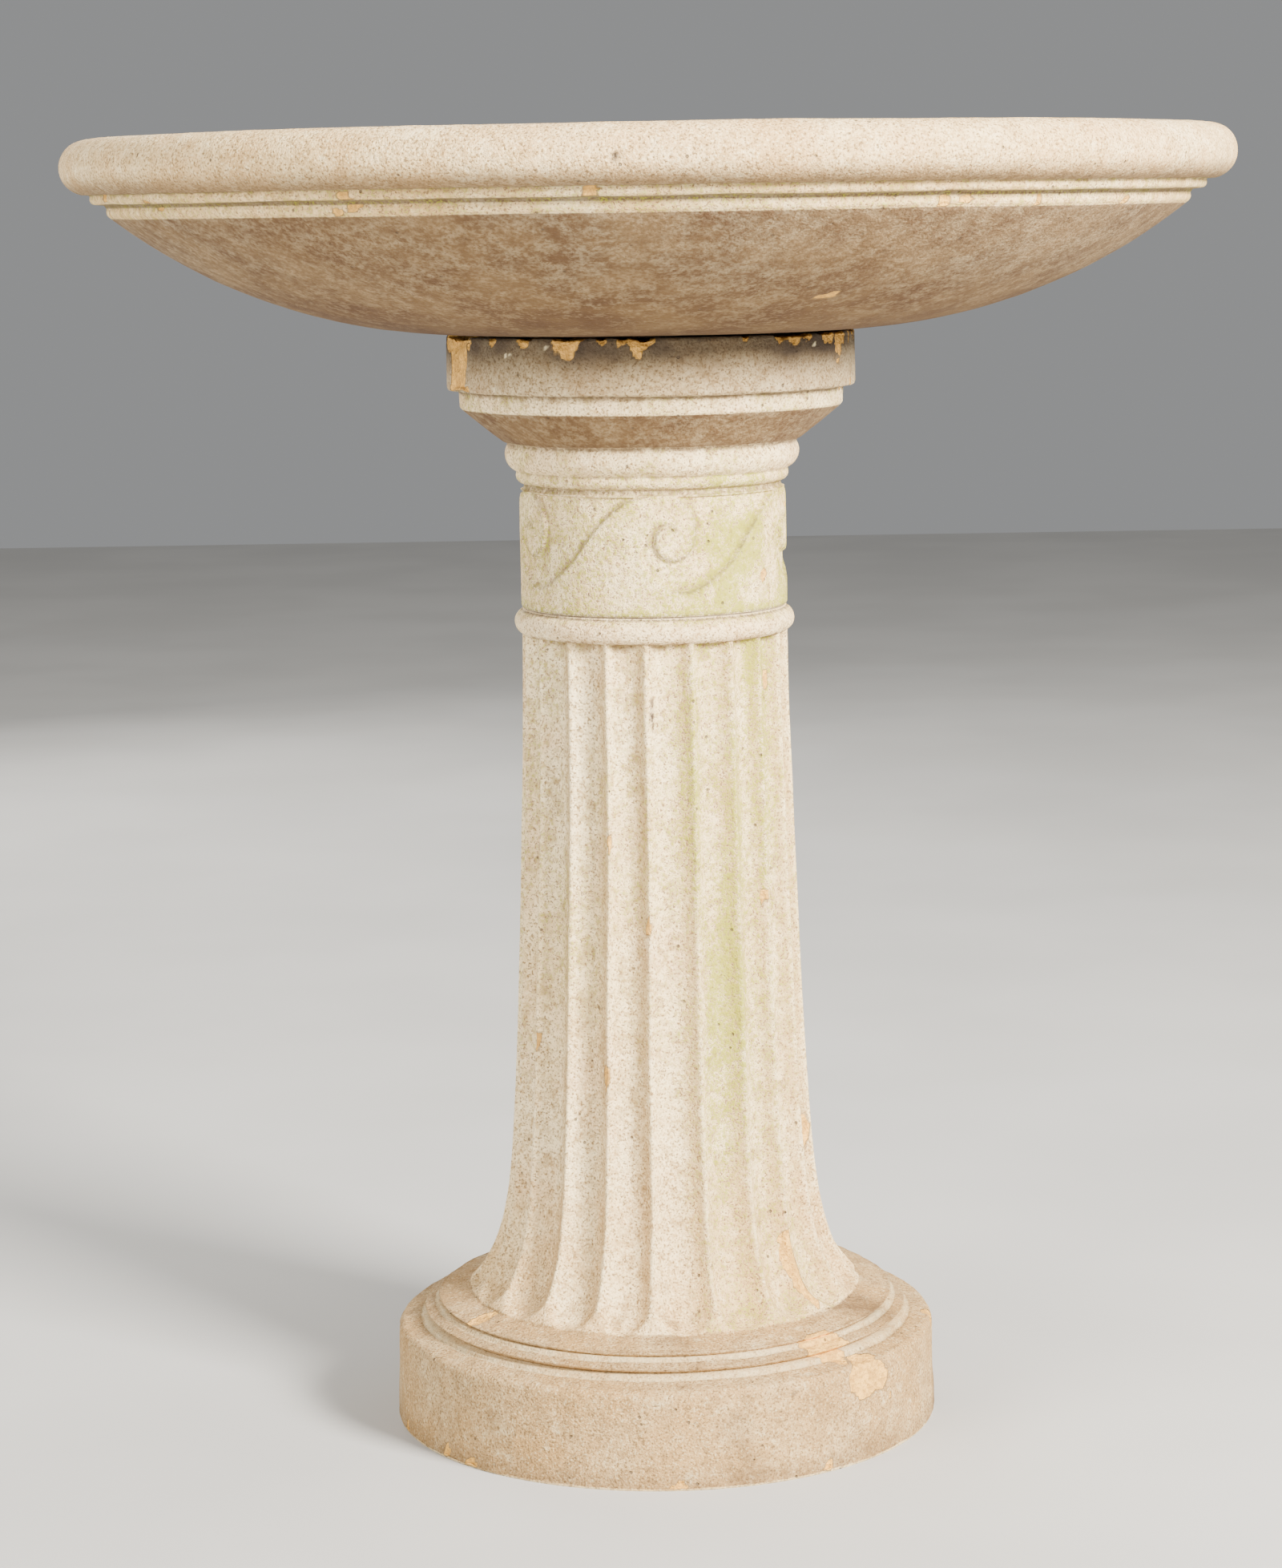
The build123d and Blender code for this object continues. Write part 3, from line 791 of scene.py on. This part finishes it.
class Shading:
    """Short ways to add nodes to one material."""

    def __init__(self, name):
        self.material = bpy.data.materials.new(name)
        self.material.use_nodes = True
        self.tree = self.material.node_tree
        self.shader = self.tree.nodes["Principled BSDF"]
        self.where = self.tree.nodes.new("ShaderNodeTexCoord").outputs["Object"]

    def put(self, kind, inputs, **settings):
        """New node. Inputs that are sockets are linked and the others are values."""
        node = self.tree.nodes.new(kind)
        for key, value in settings.items():
            setattr(node, key, value)
        for key, value in inputs.items():
            if isinstance(value, bpy.types.NodeSocket):
                self.tree.links.new(value, node.inputs[key])
            else:
                node.inputs[key].default_value = value
        return node

    def noise(self, size, detail=2.0, rough=0.55, stretch=None, shift=0.0):
        """Noise with features about size metres across."""
        place = self.where
        if stretch or shift:
            scale = stretch or (1, 1, 1)
            moved = {"Vector": place, "Scale": scale, "Location": (shift, shift * 0.7, -shift)}
            place = self.put("ShaderNodeMapping", moved).outputs[0]
        inputs = {"Vector": place, "Scale": 1 / size, "Detail": detail, "Roughness": rough}
        return self.put("ShaderNodeTexNoise", inputs).outputs["Fac"]

    def cells(self, size, shift=0.0):
        """Distance to the nearest of scattered points, and a random grey for each."""
        moved = {"Vector": self.where, "Location": (shift, 0, shift)}
        place = self.put("ShaderNodeMapping", moved).outputs[0]
        node = self.put("ShaderNodeTexVoronoi", {"Vector": place, "Scale": 1 / size})
        return node.outputs["Distance"], node.outputs["Color"]

    def ramp(self, value, low, high, to_low=0.0, to_high=1.0):
        """Goes smoothly from to_low, at low, to to_high, at high."""
        inputs = {"Value": value, "From Min": low, "From Max": high, "To Min": to_low, "To Max": to_high}
        return self.put("ShaderNodeMapRange", inputs, interpolation_type="SMOOTHSTEP").outputs[0]

    def maths(self, kind, a, b):
        """One step of arithmetic on two values."""
        return self.put("ShaderNodeMath", {0: a, 1: b}, operation=kind).outputs[0]

    def times(self, a, b):
        """Product of two values."""
        return self.maths("MULTIPLY", a, b)

    def plus(self, a, b):
        """Sum of two values."""
        return self.maths("ADD", a, b)

    def mix(self, share, a, b):
        """Colour a with this share of colour b over it."""
        node = self.put("ShaderNodeMix", {}, data_type="RGBA")
        for key, value in (("Factor_Float", share), ("A_Color", a), ("B_Color", b)):
            socket = next(s for s in node.inputs if s.identifier == key)
            if isinstance(value, bpy.types.NodeSocket):
                self.tree.links.new(value, socket)
            else:
                socket.default_value = value if key == "Factor_Float" else (*value, 1)
        return next(s for s in node.outputs if s.identifier == "Result_Color")

    def painted(self, key):
        """The paint that the mesh holds under this name."""
        return self.put("ShaderNodeAttribute", {}, attribute_name=key).outputs["Fac"]

    def finish(self, colour, roughness, height, depth):
        """Links colour, roughness and a bump whose full height is depth metres."""
        bump = self.put("ShaderNodeBump", {"Height": height, "Distance": depth, "Strength": 1.0})
        self.tree.links.new(colour, self.shader.inputs["Base Color"])
        self.tree.links.new(roughness, self.shader.inputs["Roughness"])
        self.tree.links.new(bump.outputs[0], self.shader.inputs["Normal"])
        self.shader.inputs["Specular IOR Level"].default_value = 0.3
        return self.material


CREAM = (0.90, 0.69, 0.375)
PALE = (0.96, 0.79, 0.48)
PINK = (0.80, 0.54, 0.30)
TAN = (0.46, 0.285, 0.11)
DARK = (0.09, 0.06, 0.038)
GRIME_AND_SHADE = (0.215, 0.135, 0.055)
ALGAE = (0.34, 0.335, 0.015)
BROWN = (0.088, 0.043, 0.018)
SOOT_AND_SHADE = (0.06, 0.042, 0.028)
WARM = (0.62, 0.37, 0.13)
FRESH = (0.90, 0.51, 0.12)
FRESH_DARK = (0.58, 0.31, 0.07)
LIME = (0.97, 0.84, 0.52)
MORTAR_DARK, MORTAR, SAND = (0.16, 0.13, 0.09), (0.27, 0.23, 0.16), (0.48, 0.42, 0.32)
FLOOR_LOW, FLOOR_HIGH = (0.47, 0.465, 0.45), (0.51, 0.505, 0.49)


class Clay(Shading):
    """Old unglazed clay: speckle, dirt and painted shade in the hollows, stains, algae, lime and fresh
    breaks.
    """

    def __init__(self, name, shift):
        """Sets up the noises, from grains of about a millimetre to patches of 160 millimetres."""
        super().__init__(name)
        self.shift = shift
        self.fine = self.noise(0.0013, 2.0, 0.6, shift=shift)
        self.grain = self.noise(0.0028, 2.0, 0.6, shift=shift + 3)
        self.blotch = self.noise(0.010, 3.0, 0.65, shift=shift + 5)
        self.patch = self.noise(0.045, 3.0, 0.6, shift=shift + 7)
        self.broad = self.noise(0.16, 2.0, 0.5, shift=shift + 9)
        self.streak = self.noise(0.014, 3.0, 0.6, (1, 1, 0.16), shift + 11)

    def fired(self):
        """The clay's own mottled and speckled colour, with painted shade in the flutes beside each arris."""
        colour = self.mix(self.ramp(self.broad, 0.35, 0.65), CREAM, PALE)
        colour = self.mix(self.ramp(self.patch, 0.42, 0.68, 0, 0.6), colour, PINK)
        # Painted shade in the flutes.
        colour = self.mix(self.times(self.painted("shade"), 0.55), colour, TAN)
        warm = self.times(self.painted("warm"), self.ramp(self.patch, 0.25, 0.7, 0.5, 1.0))
        colour = self.mix(warm, colour, WARM)
        colour = self.mix(self.ramp(self.blotch, 0.42, 0.76, 0, 0.55), colour, TAN)
        colour = self.mix(self.ramp(self.blotch, 0.45, 0.28, 0, 0.5), colour, PALE)
        colour = self.mix(self.ramp(self.grain, 0.47, 0.68, 0, 0.66), colour, TAN)
        colour = self.mix(self.ramp(self.fine, 0.47, 0.34, 0, 0.9), colour, GRIME_AND_SHADE)
        return self.mix(self.ramp(self.fine, 0.56, 0.70, 0, 0.65), colour, LIME)

    def weathered(self, colour):
        """Dirt and painted shade in the hollows, pale edges, and brown stains and soot, both also holding
        painted shade under overhangs.
        """
        # Hollows darkened with dirt and painted shade.
        dirt_and_shade = self.plus(self.painted("cavity"), self.ramp(self.blotch, 0.3, 0.7, -0.12, 0.16))
        dirt_and_shade = self.plus(dirt_and_shade, self.ramp(self.streak, 0.4, 0.7, -0.05, 0.07))
        colour = self.mix(self.ramp(dirt_and_shade, 0.05, 0.5, 0, 0.75), colour, GRIME_AND_SHADE)
        edge = self.plus(self.painted("cavity"), self.ramp(self.grain, 0.3, 0.7, -0.1, 0.1))
        colour = self.mix(self.ramp(edge, -0.15, -0.6, 0, 0.4), colour, LIME)
        mottle = self.ramp(self.plus(self.blotch, self.times(self.grain, 0.8)), 0.6, 1.15, 0.88, 1.08)
        stain_and_shade = self.maths("MINIMUM", self.times(self.painted("stain_and_shade"), mottle), 1.0)
        colour = self.mix(stain_and_shade, colour, self.mix(self.ramp(self.patch, 0.3, 0.7, 0, 0.5), BROWN, GRIME_AND_SHADE))
        soot_and_shade = self.times(self.painted("soot_and_shade"), self.ramp(self.patch, 0.3, 0.7, 0.8, 1.05))
        return self.mix(self.maths("MINIMUM", soot_and_shade, 1.0), colour, SOOT_AND_SHADE)

    def overgrown(self, colour):
        """Algae, the dark lines of joints, marks and painted shade in the corners, and lime."""
        growth = self.plus(self.painted("algae"), self.ramp(self.fine, 0.38, 0.62, -0.5, 0.4))
        growth = self.plus(growth, self.ramp(self.grain, 0.35, 0.65, -0.15, 0.15))
        growth = self.plus(growth, self.ramp(self.blotch, 0.3, 0.7, -0.15, 0.15))
        there = self.ramp(self.painted("algae"), 0, 0.12)
        colour = self.mix(self.times(self.ramp(growth, 0.05, 1.0, 0, 0.85), there), colour, ALGAE)
        trace = self.times(self.painted("line"), self.ramp(self.grain, 0.3, 0.6, 0.45, 1.0))
        colour = self.mix(trace, colour, DARK)
        lime = self.times(self.painted("lime"), self.ramp(self.blotch, 0.35, 0.6, 0.1, 0.85))
        return self.mix(lime, colour, LIME)

    def broken(self, colour):
        """Fresh orange clay in the chips, inside a dirty outline. Also gives where it is."""
        tone = self.plus(self.times(self.grain, 0.6), self.times(self.blotch, 0.4))
        fresh = self.mix(self.ramp(tone, 0.42, 0.62), FRESH_DARK, FRESH)
        torn = self.plus(self.painted("chip"), self.ramp(self.blotch, 0.3, 0.7, -0.12, 0.12))
        outline = self.times(self.ramp(torn, 0.1, 0.25), self.ramp(torn, 0.6, 0.4))
        colour = self.mix(self.times(outline, 0.6), colour, GRIME_AND_SHADE)
        open_clay = self.ramp(torn, 0.32, 0.46)
        return self.mix(self.times(open_clay, 0.95), colour, fresh), open_clay

    def pitted(self, colour):
        """Dark pits and smaller specks at random places. Also gives where the pits are."""
        spots, tone = self.cells(0.0085, self.shift)
        pit = self.times(self.ramp(spots, 0.13, 0.07), self.ramp(tone, 0.55, 0.75))
        specks, tone = self.cells(0.004, self.shift + 2)
        speck = self.times(self.ramp(specks, 0.17, 0.09), self.ramp(tone, 0.45, 0.6))
        colour = self.mix(self.times(pit, 0.75), colour, DARK)
        return self.mix(self.times(speck, 0.6), colour, DARK), pit

    def relief(self, open_clay, pit):
        """Height of the bump: grain everywhere, more of it in the chips, and sunk pits."""
        height = self.plus(self.times(self.fine, 0.5), self.times(self.grain, 0.7))
        height = self.plus(height, self.times(self.blotch, 0.6))
        height = self.maths("SUBTRACT", height, self.times(pit, 0.8))
        return self.plus(height, self.times(self.times(open_clay, self.grain), 1.2))


def clay_material(name, shift):
    """The clay of one body. Shift moves all its noise, so that the two bodies differ."""
    clay = Clay(name, shift)
    colour, open_clay = clay.broken(clay.overgrown(clay.weathered(clay.fired())))
    colour, pit = clay.pitted(colour)
    worn = clay.plus(clay.grain, clay.times(open_clay, 0.2))
    roughness = clay.ramp(worn, 0.3, 0.8, 0.82, 0.98)
    return clay.finish(colour, roughness, clay.relief(open_clay, pit), 0.0013)


def mortar_material():
    """Grey lime mortar with sand in it."""
    s = Shading("lime_mortar")
    sand = s.noise(0.0015, 3.0, 0.7)
    patch = s.noise(0.02, 2.0, 0.5)
    colour = s.mix(s.ramp(patch, 0.35, 0.65), MORTAR_DARK, MORTAR)
    colour = s.mix(s.ramp(sand, 0.5, 0.7, 0, 0.7), colour, SAND)
    return s.finish(colour, s.ramp(sand, 0.3, 0.7, 0.85, 0.98), sand, 0.0008)


def show(turned, name, node, body, material, closed=True):
    """Makes a grid's mesh the piece that stands for a CAD node."""
    piece = turned.mesh(name, closed)
    piece.data.materials.append(material)
    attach(piece, body)
    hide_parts(node)


pedestal_clay = clay_material("pedestal_clay", 0.0)
bowl_clay = clay_material("bowl_clay", 2.3)
show(make_shaft(), "fluted_shaft", "shaft", "pedestal", pedestal_clay)
show(make_capital(), "scroll_capital", "capital", "pedestal", pedestal_clay)
show(make_bowl(), "rolled_bowl", "bowl", "bowl", bowl_clay, closed=False)
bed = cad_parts["capital_bed"]
bed.data.materials.clear()
bed.data.materials.append(mortar_material())


# --- Stage --------------------------------------------------------------------------------


FLOOR_REACH = 6.0
LAMP_AIM = Vector((0, 0, 0.45))
# Name, place, size, power and colour of each lamp.
LAMPS = (
    ("key", (1.95, -1.95, 1.75), 0.9, 500, (1, 0.95, 0.87)),
    ("fill", (-2.3, -2.0, 1.3), 2.0, 125, (1, 0.97, 0.92)),
    ("top", (0.2, 0.6, 3.0), 1.8, 55, (1, 0.98, 0.94)),
    ("back", (-1.2, 2.4, 1.5), 2.0, 55, (1, 0.97, 0.92)),
)
WORLD_COLOUR, WORLD_STRENGTH = (0.80, 0.81, 0.82, 1), 0.36
CAMERA_PLACE = (-0.0042, -2.236, 0.730)
CAMERA_DOWN, CAMERA_ROLL = 7.68, 0.9  # degrees
LENS, SENSOR, SHIFT_UP = 86.45, 36, -0.047


def make_floor():
    """Plain pale floor under the object."""
    reach = FLOOR_REACH
    corners = [(-reach, -reach, 0), (reach, -reach, 0), (reach, reach, 0), (-reach, reach, 0)]
    mesh = bpy.data.meshes.new("floor")
    mesh.from_pydata(corners, [], [(0, 1, 2, 3)])
    floor = bpy.data.objects.new("floor", mesh)
    bpy.context.scene.collection.objects.link(floor)
    s = Shading("floor")
    tone = s.noise(0.35, 3.0, 0.5)
    colour = s.mix(s.ramp(tone, 0.3, 0.7), FLOOR_LOW, FLOOR_HIGH)
    mesh.materials.append(s.finish(colour, s.ramp(tone, 0.3, 0.7, 0.8, 0.9), tone, 0.0005))


def add_lamp(name, place, size, power, colour):
    """Square studio lamp that faces the top of the shaft."""
    data = bpy.data.lights.new(name, "AREA")
    data.size = size
    data.energy = power
    data.color = colour
    lamp = bpy.data.objects.new(name, data)
    lamp.location = place
    lamp.rotation_euler = (LAMP_AIM - lamp.location).to_track_quat("-Z", "Y").to_euler()
    bpy.context.scene.collection.objects.link(lamp)


def make_lights():
    """The lamps, and a soft grey light from all sides."""
    for lamp in LAMPS:
        add_lamp(*lamp)
    world = bpy.data.worlds.new("studio")
    world.use_nodes = True
    background = world.node_tree.nodes["Background"]
    background.inputs["Color"].default_value = WORLD_COLOUR
    background.inputs["Strength"].default_value = WORLD_STRENGTH
    bpy.context.scene.world = world


def make_camera():
    """Camera in front of the object, looking a little down on it."""
    data = bpy.data.cameras.new("camera")
    data.sensor_width = SENSOR
    data.lens = LENS
    data.shift_y = SHIFT_UP
    camera = bpy.data.objects.new("camera", data)
    camera.location = CAMERA_PLACE
    camera.rotation_mode = "XYZ"
    camera.rotation_euler = (math.radians(90 - CAMERA_DOWN), math.radians(CAMERA_ROLL), 0)
    bpy.context.scene.collection.objects.link(camera)
    bpy.context.scene.camera = camera


make_floor()
make_lights()
make_camera()
